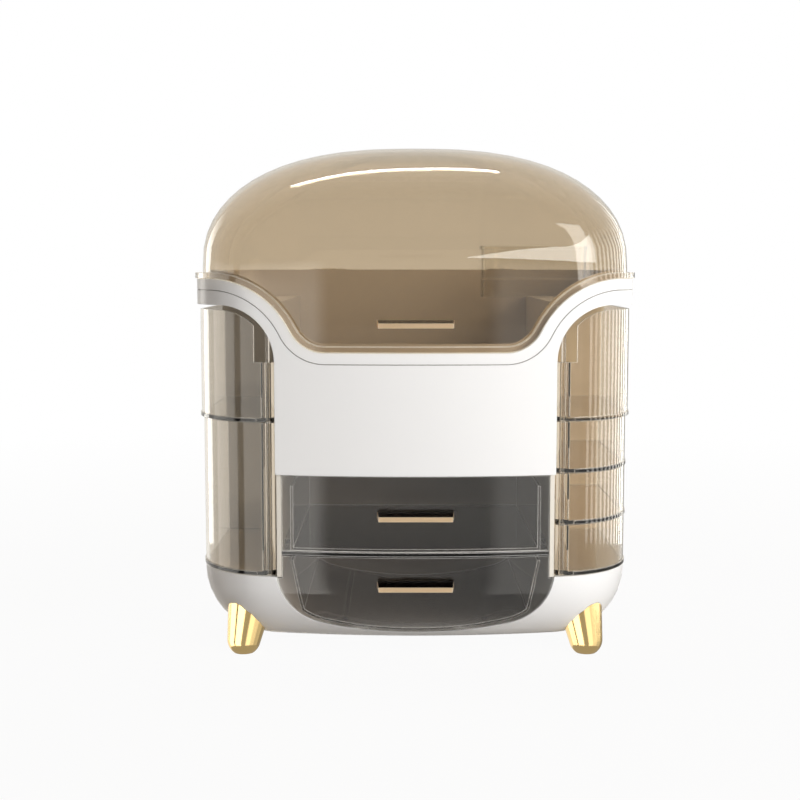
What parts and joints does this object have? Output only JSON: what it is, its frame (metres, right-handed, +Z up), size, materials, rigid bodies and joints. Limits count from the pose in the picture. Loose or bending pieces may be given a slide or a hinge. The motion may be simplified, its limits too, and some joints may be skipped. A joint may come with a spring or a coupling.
{
  "type": "makeup organizer",
  "caption": "Tabletop makeup organizer with a see-through hinged dome lid, a bowed front with stacked drawers, swing-out side trays and splayed tapered feet.",
  "frame": {"origin": "centre of the whole organizer's footprint, on the surface it stands on", "axes": "+Z up, the bowed front with its drawers faces -Y, +X to the right of a viewer who faces the drawers"},
  "size_m": [0.317, 0.2368, 0.3625],
  "materials": {
    "white_plastic": "high-gloss moulded white",
    "cream_plastic": "smooth moulded cream",
    "clear_plastic": "clear moulded, polished",
    "amber_plastic": "amber tinted see-through, polished",
    "lid_plastic": "amber tinted see-through, polished",
    "smoke_plastic": "smoke tinted see-through",
    "clear_smoke_plastic": "light smoke tinted see-through, polished",
    "handle_gold": "satin pale gold",
    "foot_gold": "polished gold plate",
    "steel": "bright steel"
  },
  "bodies": {
    "housing": {"base_shell": "white_plastic", "deck_left": "white_plastic", "deck_right": "white_plastic", "foot_front_left": "foot_gold", "foot_front_right": "foot_gold", "foot_rear_left": "foot_gold", "foot_rear_right": "foot_gold", "foot_screws": "steel", "rear_housing": "white_plastic", "inner_bin": "cream_plastic", "front_cover": "white_plastic", "drawer_shelf": "smoke_plastic", "lift_out_tray": "clear_plastic", "pivot_rod_left": "clear_plastic", "pivot_rod_right": "clear_plastic", "hinge_bracket_left": "white_plastic", "hinge_bracket_right": "white_plastic", "hinge_pin_left": "steel", "hinge_pin_right": "steel"},
    "lid": {"dome_lid": "lid_plastic", "lid_handle": "handle_gold", "hinge_leaf_left": "lid_plastic", "hinge_leaf_right": "lid_plastic"},
    "upper_drawer": {"upper_drawer_box": "smoke_plastic", "upper_drawer_front": "clear_smoke_plastic", "upper_drawer_handle": "handle_gold"},
    "lower_drawer": {"lower_drawer_box": "smoke_plastic", "lower_drawer_front": "clear_smoke_plastic", "lower_drawer_handle": "handle_gold"},
    "left_tray_lower": {"tray_left_lower": "amber_plastic"},
    "left_tray_upper": {"tray_left_upper": "amber_plastic"},
    "right_tray_1": {"tray_right_1": "amber_plastic"},
    "right_tray_2": {"tray_right_2": "amber_plastic"},
    "right_tray_3": {"tray_right_3": "amber_plastic"},
    "right_tray_4": {"tray_right_4": "amber_plastic"}
  },
  "joints": [
    {"name": "lid_hinge", "type": "hinge", "parent": "housing", "child": "lid", "pos_m": [0, 0.1139, 0.2699], "axis": [-1, 0, 0], "range_deg": [0, 100]},
    {"name": "upper_drawer_slide", "type": "slide", "parent": "housing", "child": "upper_drawer", "axis": [0, -1, 0], "range_m": [0, 0.14]},
    {"name": "lower_drawer_slide", "type": "slide", "parent": "housing", "child": "lower_drawer", "axis": [0, -1, 0], "range_m": [0, 0.14]},
    {"name": "left_lower_tray_hinge", "type": "hinge", "parent": "housing", "child": "left_tray_lower", "pos_m": [-0.1022, -0.09216, 0.115], "axis": [0, 0, 1], "range_deg": [0, 90]},
    {"name": "left_upper_tray_hinge", "type": "hinge", "parent": "housing", "child": "left_tray_upper", "pos_m": [-0.1022, -0.09216, 0.19], "axis": [0, 0, 1], "range_deg": [0, 90]},
    {"name": "right_tray_1_hinge", "type": "hinge", "parent": "housing", "child": "right_tray_1", "pos_m": [0.1022, -0.09216, 0.08], "axis": [0, 0, -1], "range_deg": [0, 90]},
    {"name": "right_tray_2_hinge", "type": "hinge", "parent": "housing", "child": "right_tray_2", "pos_m": [0.1022, -0.09216, 0.116], "axis": [0, 0, -1], "range_deg": [0, 90]},
    {"name": "right_tray_3_hinge", "type": "hinge", "parent": "housing", "child": "right_tray_3", "pos_m": [0.1022, -0.09216, 0.152], "axis": [0, 0, -1], "range_deg": [0, 90]},
    {"name": "right_tray_4_hinge", "type": "hinge", "parent": "housing", "child": "right_tray_4", "pos_m": [0.1022, -0.09216, 0.19], "axis": [0, 0, -1], "range_deg": [0, 90]}
  ]
}
